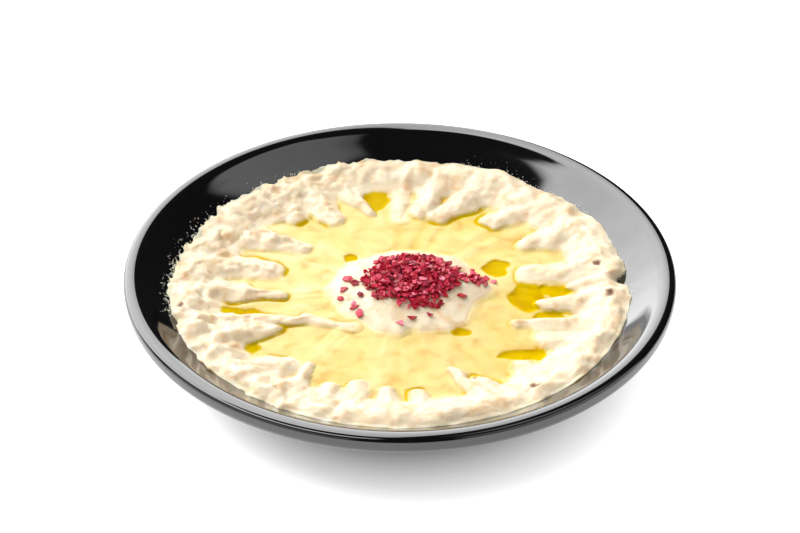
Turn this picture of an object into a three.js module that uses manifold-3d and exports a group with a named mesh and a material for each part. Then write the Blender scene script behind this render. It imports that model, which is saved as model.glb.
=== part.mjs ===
// Baba ganoush served in a shallow black glazed bowl.
// The dip is spread against the bowl's wall in a craggy ring, with spoon-made ridges that run inwards,
// a round mound in the middle and a moat of olive oil between them. Coarse red sumac flakes lie on the mound.
// Millimetres, +Z up. The origin is on the table under the bowl's centre. The usual eater sits towards -Y.

import * as THREE from "three";
import { mergeVertices } from "three/addons/utils/BufferGeometryUtils.js";
import Module from "manifold-3d";

const wasm = await Module();
wasm.setup();

// Bowl
const BOWL_RADIUS = 100;
const BOWL_HEIGHT = 37;
const RIM_INNER_RADIUS = 95.4;
const RIM_TOP_RADIUS = 97.7; // where the flat top of the rim turns down
const RIM_SIDE_DROP = 3.5; // from the rim's top to the bowl's widest line
const RIM_EDGE_ROUND = 0.5; // soft inner edge of the rim
const BEAD_RADIUS = 3.66; // rounding under the widest line
const WALL_SLOPE_DEG = 36; // of the outer wall where it leaves the bead
const FLOOR_Z = 8; // inside, at the centre
const FLOOR_FLAT_RADIUS = 18;
const FOOT_RADIUS = 46;
const FOOT_WIDTH = 5;
const FOOT_HEIGHT = 6.3; // seen from outside
const RECESS_Z = 2.5; // underside of the floor inside the foot ring
const BOWL_SIDES = 64;

// Dip and oil
const GAP = 0.35; // between two touching pieces, measured straight up
const DIP_RADIUS = 84; // where the dip's edge lies on the bowl's wall
const OIL_Z = 25; // level of the oil
const MOAT_Z = OIL_Z - 1.0; // the dip's floor under the oil
const RING_CREST = 6.0; // of the outer ring, above the moat's floor
const RING_CREST_INSET = 6; // from the dip's edge in to the crest
const RING_WIDTH = 22; // from the dip's edge in to the oil
const MOUND_CENTRE = [3.5, -0.5];
const MOUND_RADII = [31, 28.5];
const MOUND_HEIGHT = 5.0; // above the moat's floor
const OIL_DISC_RADIUS = 70; // the oil is cut out of a disc of this size
const OIL_DISC_DEPTH = 3.7;
const DIP_SIDES = 88;
const DIP_STEPS = 24; // rings of the upper surface
const UNDER_STEPS = 4; // rings of the underside

// Sumac heap
const HEAP_CENTRE = [4, 0.5];
const HEAP_RADII = [18.5, 16.5];
const HEAP_CORE = 1.3; // height of the packed middle above the mound
const HEAP_FLAKES = 88;
const FLAKE_SIZE = [2.2, 3.8]; // shortest and longest, end to end
const FLAKE_THICKNESS = 0.6;
// Loose flakes round the heap: angle in degrees and distance from the mound's centre
const LOOSE_FLAKES = [
  [196, 26], [186, 24], [171, 23], [179, 20], [208, 23], [213, 24], [222, 24], [201, 19],
  [272, 20], [262, 23], [292, 20], [341, 20], [8, 24], [14, 26], [20, 25], [4, 21], [27, 26],
];

// Ridges that the spoon left, from the ring towards the middle: where each leaves the ring, where it ends,
// its half width at both ends and its height above the moat's floor.
const RIDGES = [
  { root: [75, -8], tip: [51, -8], wide: [9, 2.5], high: 4.4 },
  { root: [76, 14], tip: [42, 9], wide: [8.5, 5], high: 4.0 },
  { root: [73, 38], tip: [44, 28.5], wide: [11, 3.5], high: 4.8 },
  { root: [62, 58], tip: [32, 43], wide: [9, 4], high: 4.8 },
  { root: [38, 72], tip: [13, 45.5], wide: [11, 4], high: 5.0 },
  { root: [15, 74], tip: [7.5, 49], wide: [8, 4], high: 4.6 },
  { root: [0, 74], tip: [0, 44], wide: [5, 3.5], high: 2.2 },
  { root: [-25, 70], tip: [-10, 49.5], wide: [6, 2], high: 4.4 },
  { root: [-35, 64], tip: [-23, 42], wide: [8, 3], high: 4.0 },
  { root: [-50, 56], tip: [-37, 49], wide: [11, 5], high: 4.8 },
  { root: [-66, 37], tip: [-34, 25], wide: [11, 2.5], high: 4.4 },
  { root: [-74, 13], tip: [-43.5, 11.5], wide: [8, 5], high: 4.6 },
  { root: [-75, -1], tip: [-42, -4.5], wide: [8, 2.5], high: 4.6 },
  { root: [-76, -21], tip: [-32, -18], wide: [5, 2], high: 3.6 },
  { root: [-70, -29], tip: [-43, -24], wide: [10, 3], high: 4.8 },
  { root: [-36, -18], tip: [-14, -23], wide: [2.5, 3], high: 1.9 },
  { root: [-66, -52], tip: [-36, -45.5], wide: [11, 5], high: 4.6 },
  { root: [-38, -66], tip: [-31, -44], wide: [7, 1.5], high: 3.4 },
  { root: [-28, -70], tip: [-23, -54], wide: [6, 4], high: 3.8 },
  { root: [-16, -74], tip: [-13, -53.5], wide: [6, 4], high: 3.8 },
  { root: [-3, -74], tip: [-3, -57.5], wide: [5, 3], high: 3.4 },
  { root: [9, -74], tip: [7.5, -58], wide: [5, 3.5], high: 3.4 },
  { root: [30, -64], tip: [16.5, -46], wide: [4, 1.2], high: 3.2 },
  { root: [32, -70], tip: [28, -51], wide: [8, 5], high: 4.0 },
  { root: [58, -58], tip: [36, -42], wide: [13, 6], high: 4.6 },
  { root: [72, -33], tip: [47, -29], wide: [9, 4], high: 4.0 },
  { root: [73, -21], tip: [40, -22], wide: [6, 2], high: 3.6 },
];

// Hollows in the moat's floor where the oil stands deepest: place, half widths and extra depth.
const HOLLOWS = [
  { at: [-10, 61], size: [5, 8], deep: 1.9 },
  { at: [47, -4], size: [6, 9], deep: 1.9 },
  { at: [57, 0], size: [9, 3], deep: 1.9 },
  { at: [53, -16], size: [5, 2.5], deep: 1.9 },
  { at: [36, 14.5], size: [4.5, 5], deep: 1.9 },
  { at: [44, -38.5], size: [8, 2], deep: 1.9 },
  { at: [21, -25.5], size: [4, 2.5], deep: 1.6 },
  { at: [-18, 20.5], size: [2.5, 4], deep: 1.6 },
  { at: [-60, -14], size: [9, 3], deep: 1.7 },
  { at: [-52, -34.5], size: [3, 3], deep: 1.5 },
  { at: [-38, 46], size: [2.5, 4], deep: 1.7 },
];

const radians = THREE.MathUtils.degToRad;
const clamp = THREE.MathUtils.clamp;
const lerp = THREE.MathUtils.lerp;
const smooth = (x, low, high) => THREE.MathUtils.smoothstep(x, low, high);

// Seeded draws, so that every build is the same.
function seededDraws(seed) {
  let state = seed >>> 0;
  return () => {
    state = (state + 0x6d2b79f5) >>> 0;
    let t = state;
    t = Math.imul(t ^ (t >>> 15), t | 1);
    t ^= t + Math.imul(t ^ (t >>> 7), t | 61);
    return ((t ^ (t >>> 14)) >>> 0) / 4294967296;
  };
}

// Smooth value noise from -1 to 1, with features about one unit across.
function cellValue(i, j) {
  const s = Math.sin(i * 127.1 + j * 311.7) * 43758.5453;
  return 2 * (s - Math.floor(s)) - 1;
}

function lumps(x, y) {
  const i = Math.floor(x);
  const j = Math.floor(y);
  const u = smooth(x - i, 0, 1);
  const v = smooth(y - j, 0, 1);
  const near = lerp(cellValue(i, j), cellValue(i + 1, j), u);
  const far = lerp(cellValue(i, j + 1), cellValue(i + 1, j + 1), u);
  return lerp(near, far, v);
}

// The larger of two heights, with the crease between them rounded over the given depth.
function blendUp(a, b, depth) {
  const h = Math.max(depth - Math.abs(a - b), 0) / depth;
  return Math.max(a, b) + (h * h * depth) / 4;
}

const polar = (degrees, distance) => [
  distance * Math.cos(radians(degrees)),
  distance * Math.sin(radians(degrees)),
];

// Height of the bowl's inner wall: a flat floor that runs into one arc up to the rim.
const WALL_RUN = RIM_INNER_RADIUS - FLOOR_FLAT_RADIUS;
const WALL_RISE = BOWL_HEIGHT - FLOOR_Z;
const WALL_ARC = (WALL_RUN * WALL_RUN + WALL_RISE * WALL_RISE) / (2 * WALL_RISE);

function innerWallZ(r) {
  const out = clamp(r - FLOOR_FLAT_RADIUS, 0, WALL_RUN);
  return FLOOR_Z + WALL_ARC - Math.sqrt(WALL_ARC * WALL_ARC - out * out);
}

// The dip's uneven edge on the wall.
function edgeRadius(angle) {
  const around = DIP_RADIUS * angle;
  return DIP_RADIUS + 0.9 * lumps(around / 9 + 40, 3.5) + 0.5 * lumps(around / 4 + 80, 8.5);
}

// The outer ring: rounded up from the wall, flat over its crest, then down to the moat.
function ringZ(x, y, r, angle) {
  const edge = edgeRadius(angle);
  const inset = edge - r;
  const wall = innerWallZ(edge) + GAP;
  const crag = 1.0 * lumps(x / 7 + 11, y / 7) + 0.6 * lumps(x / 3.6, y / 3.6 + 23);
  const crest = MOAT_Z + RING_CREST + crag;
  if (inset < RING_CREST_INSET) {
    const t = clamp(inset / RING_CREST_INSET, 0, 1);
    return lerp(wall, crest, Math.sqrt(1 - (1 - t) * (1 - t)));
  }
  return lerp(MOAT_Z - 1, crest, 1 - smooth(inset, RING_CREST_INSET, RING_WIDTH + 3));
}

// One ridge: a rounded back along a line, narrower and a little lower at its tip.
function ridgeZ(ridge, x, y) {
  const { root, tip, wide, high } = ridge;
  const alongX = tip[0] - root[0];
  const alongY = tip[1] - root[1];
  const length2 = alongX * alongX + alongY * alongY;
  const capStart = 1 - wide[1] / Math.sqrt(length2);
  const share = clamp(((x - root[0]) * alongX + (y - root[1]) * alongY) / length2, 0, capStart);
  const away = Math.hypot(x - root[0] - share * alongX, y - root[1] - share * alongY);
  const half = lerp(wide[0], wide[1], share) + 0.8 * lumps(x / 5 + 5, y / 5 + 5);
  const back = 1 - (away / half) * (away / half);
  if (back <= 0) return -Infinity;
  return MOAT_Z - 0.6 + (high + 0.6) * lerp(1, 0.72, share) * Math.pow(back, 0.6);
}

function moundZ(x, y) {
  const dx = (x - MOUND_CENTRE[0]) / MOUND_RADII[0];
  const dy = (y - MOUND_CENTRE[1]) / MOUND_RADII[1];
  const angle = Math.atan2(dy, dx);
  const uneven = 1 + 0.07 * lumps(3 * Math.cos(angle) + 7, 3 * Math.sin(angle) + 7);
  const out = Math.hypot(dx, dy) / uneven;
  if (out >= 1) return -Infinity;
  const back = Math.sqrt(1 - Math.pow(out, 4));
  const top = MOUND_HEIGHT * (1 - 0.35 * out * out) + 0.5 * lumps(x / 6, y / 6);
  return MOAT_Z - 0.6 + (top + 0.6) * back;
}

function hollowDepth(x, y) {
  let depth = 0;
  for (const { at, size, deep } of HOLLOWS) {
    const out = Math.hypot((x - at[0]) / size[0], (y - at[1]) / size[1]);
    depth = Math.max(depth, deep * (1 - smooth(out, 0.5, 1.3)));
  }
  return depth;
}

// Height of the dip's upper surface.
function dipZ(x, y) {
  const r = Math.hypot(x, y);
  const angle = Math.atan2(y, x);
  const spoonMarks = 0.2 * Math.sin(9 * angle + 0.12 * r);
  let z = MOAT_Z + spoonMarks - hollowDepth(x, y);
  z = blendUp(z, ringZ(x, y, r, angle), 1);
  for (const ridge of RIDGES) z = blendUp(z, ridgeZ(ridge, x, y), 0.8);
  z = blendUp(z, moundZ(x, y), 0.5);
  const outX = (x - HEAP_CENTRE[0]) / HEAP_RADII[0];
  const outY = (y - HEAP_CENTRE[1]) / HEAP_RADII[1];
  const heap = Math.max(0, 1 - outX * outX - outY * outY);
  return z + HEAP_CORE * Math.sqrt(heap);
}

// A closed mesh's geometry as a solid that can be joined and cut.
function solidOf(geometry) {
  const bare = geometry.index ? geometry.toNonIndexed() : geometry.clone();
  bare.deleteAttribute("normal");
  bare.deleteAttribute("uv");
  const merged = mergeVertices(bare, 1e-4);
  const corners = merged.index.array;
  const kept = [];
  for (let i = 0; i < corners.length; i += 3) {
    const [a, b, c] = corners.slice(i, i + 3);
    if (a !== b && b !== c && c !== a) kept.push(a, b, c);
  }
  return new wasm.Manifold(
    new wasm.Mesh({
      numProp: 3,
      vertProperties: merged.attributes.position.array,
      triVerts: new Uint32Array(kept),
    }),
  );
}

function geometryOf(solid) {
  const { vertProperties, triVerts } = solid.getMesh();
  const geometry = new THREE.BufferGeometry();
  geometry.setAttribute("position", new THREE.BufferAttribute(vertProperties, 3));
  geometry.setIndex(new THREE.BufferAttribute(triVerts, 1));
  geometry.computeVertexNormals();
  return geometry;
}

// The largest body of a solid: loose scraps are dropped and sealed pockets are filled.
function mainBody(solid) {
  const bodies = solid.decompose();
  return bodies.reduce((best, body) => (body.volume() > best.volume() ? body : best));
}

// Points of an arc whose slope runs from one angle to another, as [radius, height] pairs.
function slopeArc(centreR, centreZ, radius, fromDeg, toDeg, steps) {
  const points = [];
  for (let i = 0; i <= steps; i += 1) {
    const slope = radians(lerp(fromDeg, toDeg, i / steps));
    points.push([centreR + radius * Math.sin(slope), centreZ - radius * Math.cos(slope)]);
  }
  return points;
}

// Half section of the bowl, from under the floor out round the foot and rim, and back in to the centre.
function bowlProfile() {
  const widestZ = BOWL_HEIGHT - RIM_SIDE_DROP;
  const bead = slopeArc(BOWL_RADIUS - BEAD_RADIUS, widestZ, BEAD_RADIUS, WALL_SLOPE_DEG, 90, 3);
  const [wallTopR, wallTopZ] = bead[0];
  const footTopR = FOOT_RADIUS + 1;
  const chordDeg = THREE.MathUtils.radToDeg(
    Math.atan2(wallTopZ - FOOT_HEIGHT, wallTopR - footTopR),
  );
  const footSlopeDeg = 2 * chordDeg - WALL_SLOPE_DEG;
  const wallArc =
    (wallTopR - footTopR) /
    (Math.sin(radians(WALL_SLOPE_DEG)) - Math.sin(radians(footSlopeDeg)));
  const wall = slopeArc(
    wallTopR - wallArc * Math.sin(radians(WALL_SLOPE_DEG)),
    wallTopZ + wallArc * Math.cos(radians(WALL_SLOPE_DEG)),
    wallArc,
    footSlopeDeg,
    WALL_SLOPE_DEG,
    4,
  );
  const shoulder = [];
  for (let i = 1; i <= 2; i += 1) {
    const turn = radians(45 * i);
    shoulder.push([
      RIM_TOP_RADIUS + (BOWL_RADIUS - RIM_TOP_RADIUS) * Math.cos(turn),
      widestZ + RIM_SIDE_DROP * Math.sin(turn),
    ]);
  }
  const inner = [];
  const innerSteps = 6;
  for (let i = innerSteps; i >= 0; i -= 1) {
    const r = FLOOR_FLAT_RADIUS + ((WALL_RUN - RIM_EDGE_ROUND) * i) / innerSteps;
    inner.push([r, innerWallZ(r)]);
  }
  return [
    [0, RECESS_Z],
    [FOOT_RADIUS - FOOT_WIDTH - 1, RECESS_Z],
    [FOOT_RADIUS - FOOT_WIDTH, 0],
    [FOOT_RADIUS, 0],
    ...wall,
    ...bead.slice(1),
    ...shoulder,
    [RIM_INNER_RADIUS + RIM_EDGE_ROUND, BOWL_HEIGHT],
    ...inner,
    [0, FLOOR_Z],
  ];
}

// Turns [radius, height] pairs about the upright axis.
function turned(profile, sides) {
  const points = profile.map(([r, z]) => new THREE.Vector2(r, z));
  return new THREE.LatheGeometry(points, sides).rotateX(Math.PI / 2);
}

// Upper surface and underside of the dip, made from a turned outline whose points are moved into place.
function dipGeometry() {
  const share = (step) => 1 - Math.pow(1 - step / DIP_STEPS, 1.25);
  const profile = [];
  for (let i = 0; i <= UNDER_STEPS; i += 1) profile.push([i / UNDER_STEPS, 0]);
  for (let i = DIP_STEPS - 1; i >= 0; i -= 1) profile.push([share(i), 1]);
  const geometry = turned(profile, DIP_SIDES);
  const place = geometry.attributes.position;
  for (let k = 0; k < place.count; k += 1) {
    const column = Math.floor(k / profile.length) % DIP_SIDES;
    const [outward, upper] = profile[k % profile.length];
    const angle = (2 * Math.PI * column) / DIP_SIDES;
    const r = outward * edgeRadius(Math.atan2(Math.sin(angle), Math.cos(angle)));
    const x = r * Math.cos(angle);
    const y = r * Math.sin(angle);
    place.setXYZ(k, x, y, upper ? dipZ(x, y) : innerWallZ(r) + GAP);
  }
  return geometry;
}

// One angular flake, lying flat with its middle at the origin.
function flakeGeometry(draw, size) {
  const corners = draw() < 0.5 ? 3 : 4;
  const outline = new THREE.Shape();
  for (let i = 0; i < corners; i += 1) {
    const turn = (2 * Math.PI * (i + 0.6 * draw())) / corners;
    const reach = (size / 2) * lerp(0.6, 1, draw());
    const x = reach * Math.cos(turn);
    const y = 0.75 * reach * Math.sin(turn);
    if (i) outline.lineTo(x, y);
    else outline.moveTo(x, y);
  }
  outline.closePath();
  const flake = new THREE.ExtrudeGeometry(outline, { depth: FLAKE_THICKNESS, bevelEnabled: false });
  return flake.translate(0, 0, -FLAKE_THICKNESS / 2);
}

// A flake on the dip's surface, tipped and turned, its lower side sunk in.
function placedFlake(draw, x, y, size, tiltDeg, lift) {
  const flake = flakeGeometry(draw, size);
  flake.rotateX(radians(tiltDeg * (2 * draw() - 1)));
  flake.rotateY(radians(tiltDeg * (2 * draw() - 1)));
  flake.rotateZ(2 * Math.PI * draw());
  return solidOf(flake.translate(x, y, dipZ(x, y) + lift));
}

function flakeSolids() {
  const draw = seededDraws(7);
  const flakes = [];
  for (let i = 0; i < HEAP_FLAKES; i += 1) {
    const out = Math.sqrt((i + 0.5) / HEAP_FLAKES);
    const turn = 2.399963 * i + 0.5 * draw();
    const x = HEAP_CENTRE[0] + HEAP_RADII[0] * out * Math.cos(turn);
    const y = HEAP_CENTRE[1] + HEAP_RADII[1] * out * Math.sin(turn);
    const size = lerp(FLAKE_SIZE[0], FLAKE_SIZE[1], draw());
    flakes.push(placedFlake(draw, x, y, size, 45, 0.25));
  }
  for (const [degrees, distance] of LOOSE_FLAKES) {
    const [dx, dy] = polar(degrees, distance);
    const size = lerp(FLAKE_SIZE[0], FLAKE_SIZE[1], draw());
    flakes.push(placedFlake(draw, MOUND_CENTRE[0] + dx, MOUND_CENTRE[1] + dy, size, 12, 0.1));
  }
  return flakes;
}

function paint(colour, roughness) {
  return new THREE.MeshStandardMaterial({ color: colour, roughness, metalness: 0 });
}

function namedMesh(name, geometry, material) {
  const mesh = new THREE.Mesh(geometry, material);
  mesh.name = name;
  return mesh;
}

const bareDip = solidOf(dipGeometry());
const dip = mainBody(flakeSolids().reduce((whole, flake) => whole.add(flake), bareDip));

// The oil fills the moat up to its level, just clear of the dip.
function oilSolid() {
  const disc = new THREE.CylinderGeometry(
    OIL_DISC_RADIUS,
    OIL_DISC_RADIUS,
    OIL_DISC_DEPTH,
    DIP_SIDES,
  );
  disc.rotateX(Math.PI / 2).translate(0, 0, OIL_Z - OIL_DISC_DEPTH / 2);
  return mainBody(solidOf(disc).subtract(dip.translate([0, 0, GAP])));
}

const group = new THREE.Group();
group.add(namedMesh("bowl", turned(bowlProfile(), BOWL_SIDES), paint(0x0b0b0d, 0.12)));
group.add(namedMesh("baba_ganoush", geometryOf(dip), paint(0xf3e4c6, 0.5)));
group.add(namedMesh("olive_oil", geometryOf(oilSolid()), paint(0xe8d25a, 0.08)));

export default group;
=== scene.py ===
"""Baba ganoush in a shallow black glazed bowl: the looks of every piece, and a plain studio round it."""

import math
import random
from collections import namedtuple

import bmesh
import bpy
import numpy as np
from bpy.props import FloatProperty, FloatVectorProperty, IntProperty, PointerProperty
from mathutils import Euler, Matrix, Vector, noise


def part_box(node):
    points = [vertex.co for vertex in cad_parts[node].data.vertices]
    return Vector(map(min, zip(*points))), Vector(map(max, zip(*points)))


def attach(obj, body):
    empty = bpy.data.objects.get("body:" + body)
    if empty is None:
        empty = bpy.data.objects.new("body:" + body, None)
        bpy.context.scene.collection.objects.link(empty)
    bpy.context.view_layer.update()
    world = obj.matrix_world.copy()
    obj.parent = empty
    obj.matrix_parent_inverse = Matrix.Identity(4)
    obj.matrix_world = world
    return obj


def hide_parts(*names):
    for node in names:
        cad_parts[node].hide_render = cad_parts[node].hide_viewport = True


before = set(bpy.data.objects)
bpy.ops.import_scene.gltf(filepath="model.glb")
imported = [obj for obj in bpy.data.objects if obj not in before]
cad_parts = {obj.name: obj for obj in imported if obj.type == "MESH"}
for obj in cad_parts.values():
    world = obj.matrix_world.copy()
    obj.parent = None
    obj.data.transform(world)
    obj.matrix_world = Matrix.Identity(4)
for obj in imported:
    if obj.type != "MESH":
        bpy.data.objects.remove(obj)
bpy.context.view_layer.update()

bl_info = {
    "name": "Baba ganoush",
    "version": (1, 0, 0),
    "blender": (4, 5, 0),
    "location": "View3D > Sidebar > Baba ganoush",
    "description": "Serves an aubergine dip with olive oil and sumac in a black bowl",
    "category": "Add Mesh",
}

BOWL_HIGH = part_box("bowl")[1]
OIL_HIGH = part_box("olive_oil")[1]
MM = 0.001

# All shape functions work in millimetres.
BOWL_RADIUS = BOWL_HIGH.x / MM
BOWL_HEIGHT = BOWL_HIGH.z / MM
OIL_Z = OIL_HIGH.z / MM

# Bowl
RIM_INNER_RADIUS = 94.9
RIM_SIDE_DROP = 3.5
RIM_ROLL = 8.0  # radius of the inner edge
RIM_CROWN_TILT = math.radians(23)
RIM_EDGE = 2.0  # radius of the outer edge
BEAD_RADIUS = 3.66
WALL_SLOPE = math.radians(36)
FLOOR_Z = 8
FLOOR_FLAT_RADIUS = 18
FOOT_RADIUS = 46
FOOT_WIDTH = 5
FOOT_HEIGHT = 6.3
RECESS_Z = 2.5
BOWL_SIDES = 256

# Dip
DIP_RADIUS = 84
MOAT_Z = OIL_Z - 1.0
RING_CREST = 6.0
RING_CREST_INSET = 6
RING_WIDTH = 22
MOUND_CENTRE = (3.5, -0.5)
MOUND_RADII = (31, 28.5)
MOUND_HEIGHT = 5.0
HEAP_CENTRE = (4, 0.5)
HEAP_RADII = (18.5, 16.5)
HEAP_CORE = 1.3
SIDE_HEAP = ((28.5, 2.0), (3.5, 1.8))  # flakes right of the heap: middle and spread, across and back
DIP_SIDES = 500
DIP_STEPS = 180
STEP_SPREAD = 1.08  # over 1, so that the steps are finer near the dip's edge
UNDER_STEPS = 10
WALL_CLEARANCE = 0.1  # under the dip, so that the two surfaces stay apart
EDGE_SUNK = 0.15  # the dip's edge clings to the wall
SOAK_RISE = 0.35  # how far the oil creeps up into the cream
SOAK_DEPTH = 3.2
POOL_SUNK = 0.22  # share of a pool's depth that dents the cream
POOL_TINT = 0.95  # share of it that deepens the oil's colour

POOL_DEEPENED = 1.5  # against the hollows' list
CREASE_DEEPENED = 1.6  # against the ridges' list
FOOT_SUNK = 0.6  # ridges and mound start this far below the moat's floor
RIDGE_WIDENED = 1.12  # against the ridges' list
RIDGE_UNEVEN = 1.5  # how far the sides wander
RIDGE_FALL = (1.1, 0.55)  # height at the root and at the tip, against the ridges' list
RIDGE_ROUNDING = 0.9
RIDGE_BLEND = 1.8  # depth over which a ridge's foot is rounded into the moat
MOUND_UNEVEN = 0.07
MOUND_FALL = 0.3  # share of its height that the mound loses out to its edge
MOUND_BLEND = 0.8
CHAR_SUNK = 0.8
FILM_RANGE = (0.62, 1.05)  # thickness of the film at the left and at the right, against the level

# Heights of the crags, from the long ones that the spoon drew out down to the grain.
CRAG_DRAWN = 1.3
CRAG_COARSE = 1.3
CRAG_MIDDLE = 0.5
CRAG_FINE = 0.1

# How far the ridges bend, and over what length, in long and in short waves, and the same for the pools.
LONG_BEND = (1.5, 10)
SHORT_BEND = (0.7, 4.1)
HOLLOW_WAVE = (1.7, 3.5)

# Oil
OIL_SIDES = 300
OIL_STEPS = 140
OIL_STEP = 0.5
OIL_OVERLAP = 0.25  # how far the film reaches into the cream
OIL_SWELL = (0.05, 9)  # height of its surface's waves, and their length

# Ridges that the spoon left: where each leaves the ring, where it ends, its half width at both ends,
# its height above the moat's floor, and how deep the oil stands in the crease along its foot.
Ridge = namedtuple("Ridge", "root tip wide high crease")
RIDGES = (
    Ridge((75, -8), (51, -8), (9, 2.5), 4.4, 1.0),
    Ridge((76, 14), (42, 9), (8.5, 5), 4.0, 0.8),
    Ridge((73, 38), (44, 28.5), (11, 3.5), 4.8, 0.7),
    Ridge((62, 58), (32, 43), (9, 4), 4.8, 1.1),
    Ridge((38, 72), (13, 45.5), (11, 4), 5.0, 1.4),
    Ridge((15, 74), (7.5, 49), (8, 4), 4.6, 1.3),
    Ridge((0, 74), (0, 44), (5, 3.5), 2.2, 0.0),
    Ridge((-25, 70), (-10, 49.5), (6, 2), 4.4, 1.4),
    Ridge((-35, 64), (-23, 42), (8, 3), 4.0, 1.0),
    Ridge((-50, 56), (-37, 49), (11, 5), 4.8, 0.5),
    Ridge((-66, 37), (-34, 25), (11, 2.5), 4.4, 0.6),
    Ridge((-74, 13), (-43.5, 11.5), (8, 5), 4.6, 1.6),
    Ridge((-75, -1), (-42, -4.5), (8, 2.5), 4.6, 1.6),
    Ridge((-76, -21), (-32, -18), (5, 2), 3.6, 1.5),
    Ridge((-70, -29), (-43, -24), (10, 3), 4.8, 1.5),
    Ridge((-36, -18), (-14, -23), (2.5, 3), 1.9, 0.6),
    Ridge((-66, -52), (-36, -45.5), (11, 5), 4.6, 1.0),
    Ridge((-38, -66), (-31, -44), (7, 1.5), 3.4, 0.0),
    Ridge((-28, -70), (-23, -54), (6, 4), 3.8, 0.4),
    Ridge((-16, -74), (-13, -53.5), (6, 4), 3.8, 1.0),
    Ridge((-3, -74), (-3, -57.5), (5, 3), 3.4, 0.3),
    Ridge((9, -74), (7.5, -58), (5, 3.5), 3.4, 1.2),
    Ridge((30, -64), (16.5, -46), (4, 1.2), 3.2, 0.0),
    Ridge((32, -70), (28, -51), (8, 5), 4.0, 0.9),
    Ridge((60, -58), (39, -46.5), (12, 5.5), 4.2, 0.3),
    Ridge((72, -33), (47, -29), (9, 4), 4.0, 0.7),
    Ridge((73, -21), (40, -22), (6, 2), 3.6, 0.5),
)

# Hollows in the moat's floor, where the oil stands deepest: place, half widths and extra depth.
Hollow = namedtuple("Hollow", "at size deep")
HOLLOWS = (
    Hollow((-10, 61), (5, 8), 1.9),
    Hollow((47, -4), (6, 9), 1.9),
    Hollow((57, 0), (9, 3), 1.9),
    Hollow((53, -16), (5, 2.5), 1.9),
    Hollow((36, 14.5), (4.5, 5), 1.9),
    Hollow((44, -38.5), (9, 3), 1.9),
    Hollow((21, -25.5), (4, 2.5), 1.6),
    Hollow((-18, 20.5), (2.5, 4), 1.6),
    Hollow((-60, -14), (9, 3), 1.7),
    Hollow((-52, -34.5), (3, 3), 1.5),
    Hollow((-38, 46), (2.5, 4), 1.7),
)

# Charred bits of aubergine skin in the dip: place and radius.
CHARRED = (((76, -8), 3.0), ((46, -61), 2.4), ((73, 12), 1.9), ((-79, -17), 2.0), ((26, -52), 1.3))

# Where drops of dip lie on the wall: from and to angle in degrees, how many, how far past the edge, and the
# largest radius.
SPATTERED = (
    (150, 172, 70, 3.5, 0.3),
    (172, 196, 120, 3.5, 0.33),
    (118, 150, 25, 3.0, 0.25),
    (52, 74, 45, 4.0, 0.18),
    (30, 52, 30, 2.0, 0.22),
    (-14, 14, 80, 1.8, 0.25),
)

# A notch in the dip's right edge.
NOTCH_ANGLE = 0.04
NOTCH_DEPTH = 3.6

# Loose flakes round the heap: angle in degrees and distance from the mound's centre.
LOOSE_FLAKES = (
    (196, 26), (186, 24), (171, 23), (179, 20), (208, 23), (213, 24), (222, 24), (201, 19), (272, 20),
    (262, 23), (292, 20), (341, 20), (8, 24), (14, 26), (20, 25), (4, 21), (27, 26),
)


def linear(hex_colour):
    """An sRGB hex colour such as "#F5E6C8" as linear red, green, blue and a full alpha."""
    digits = hex_colour.lstrip("#")
    channels = [int(digits[i : i + 2], 16) / 255 for i in (0, 2, 4)]
    return [c / 12.92 if c <= 0.04045 else ((c + 0.055) / 1.055) ** 2.4 for c in channels] + [1.0]


# Shape of the dip


def mix(a, b, share):
    return a + (b - a) * share


def smooth(x, low, high):
    share = np.clip((x - low) / (high - low), 0, 1)
    return share * share * (3 - 2 * share)


def cell_value(i, j):
    s = np.sin(i * 127.1 + j * 311.7) * 43758.5453
    return 2 * (s - np.floor(s)) - 1


def lumps(x, y):
    """Smooth value noise from -1 to 1, with features about one unit across."""
    i = np.floor(x)
    j = np.floor(y)
    u = smooth(x - i, 0, 1)
    v = smooth(y - j, 0, 1)
    near = mix(cell_value(i, j), cell_value(i + 1, j), u)
    far = mix(cell_value(i, j + 1), cell_value(i + 1, j + 1), u)
    return mix(near, far, v)


def blend_up(a, b, depth):
    """The larger of two heights, with the crease between them rounded over the given depth."""
    h = np.maximum(depth - np.abs(a - b), 0) / depth
    return np.maximum(a, b) + h * h * depth / 4


WALL_RUN = RIM_INNER_RADIUS - FLOOR_FLAT_RADIUS
WALL_RISE = BOWL_HEIGHT - FLOOR_Z
WALL_ARC = (WALL_RUN * WALL_RUN + WALL_RISE * WALL_RISE) / (2 * WALL_RISE)


def inner_wall_z(r):
    """Height of the bowl's inner wall: a flat floor that runs into one arc up to the rim."""
    out = np.clip(r - FLOOR_FLAT_RADIUS, 0, WALL_RUN)
    return FLOOR_Z + WALL_ARC - np.sqrt(WALL_ARC * WALL_ARC - out * out)


def edge_radius(angle):
    """The dip's uneven edge on the wall."""
    around = DIP_RADIUS * angle
    torn = mix(0.45, 1.5, smooth(-np.cos(angle), -0.2, 0.7))
    edge = DIP_RADIUS + 0.9 * lumps(around / 9 + 40, 3.5 + 0 * around)
    edge += torn * lumps(around / 3.4 + 80, 8.5 + 0 * around)
    edge += 0.6 * torn * lumps(around / 1.3 + 10, 2.5 + 0 * around)
    notch = np.maximum(np.abs(angle - NOTCH_ANGLE) - 0.015, 0) / 0.02
    return edge - NOTCH_DEPTH * np.exp(-notch * notch)


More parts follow.
